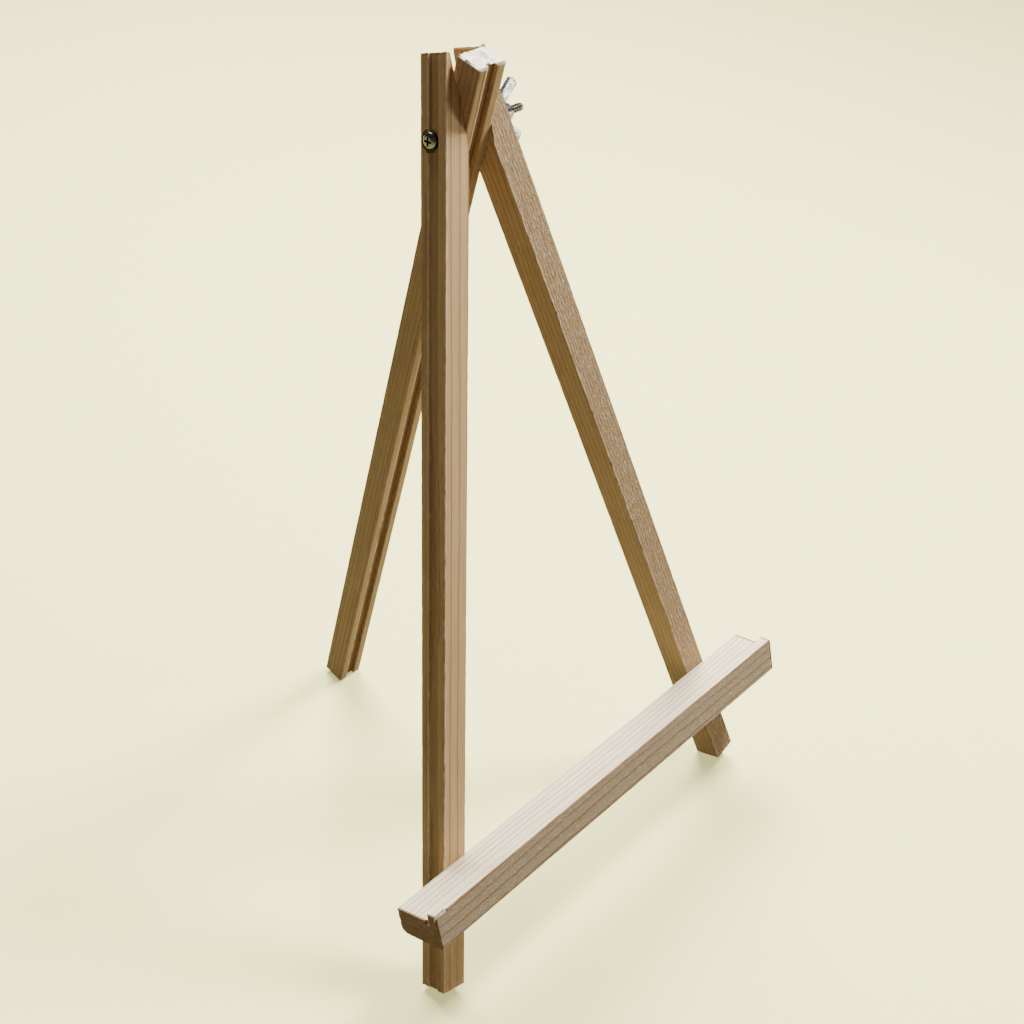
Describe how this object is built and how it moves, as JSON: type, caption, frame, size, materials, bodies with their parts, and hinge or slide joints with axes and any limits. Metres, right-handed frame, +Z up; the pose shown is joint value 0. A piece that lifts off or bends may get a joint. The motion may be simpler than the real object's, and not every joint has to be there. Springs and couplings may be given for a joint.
{
  "type": "tabletop easel",
  "caption": "Folding wooden tabletop easel: splayed grooved front legs and a rear leg on one bolt with a wing nut, and a lipped ledge in front.",
  "frame": {"origin": "on the surface the easel stands on, under the middle of its bounding box", "axes": "+X to the right along the pivot bolt as seen from the front, +Y to the back, +Z up"},
  "size_m": [0.272, 0.224, 0.4231],
  "materials": {
    "pine_legs": "bare planed softwood, fine straight grain",
    "pine_ledge": "bare planed softwood, pale, fine straight grain",
    "plated_steel": "bright plated steel",
    "screw_steel": "zinc plated steel"
  },
  "bodies": {
    "front_frame": {"left_front_leg": "pine_legs", "right_front_leg": "pine_legs", "picture_ledge": "pine_ledge", "pivot_bolt": "plated_steel", "ledge_screws": "screw_steel"},
    "rear_support": {"rear_leg": "pine_legs"},
    "washer_ring": {"pivot_washer": "plated_steel"},
    "nut": {"wing_nut": "plated_steel"}
  },
  "joints": [
    {"name": "rear_leg_fold", "type": "hinge", "parent": "front_frame", "child": "rear_support", "pos_m": [0, 0.02201, 0.38653], "axis": [1, 0, 0], "range_deg": [-29.4, 60.5]},
    {"name": "washer_slide", "type": "slide", "parent": "front_frame", "child": "washer_ring", "axis": [1, 0, 0], "range_m": [0, 0.0021]},
    {"name": "wing_nut_turn", "type": "hinge", "parent": "washer_ring", "child": "nut", "pos_m": [0, 0.02201, 0.38653], "axis": [1, 0, 0], "range_deg": [0, 1080]}
  ],
  "couplings": [
    {"joint": "washer_slide", "follows": "wing_nut_turn", "m_per_rad": 0.00011141}
  ]
}
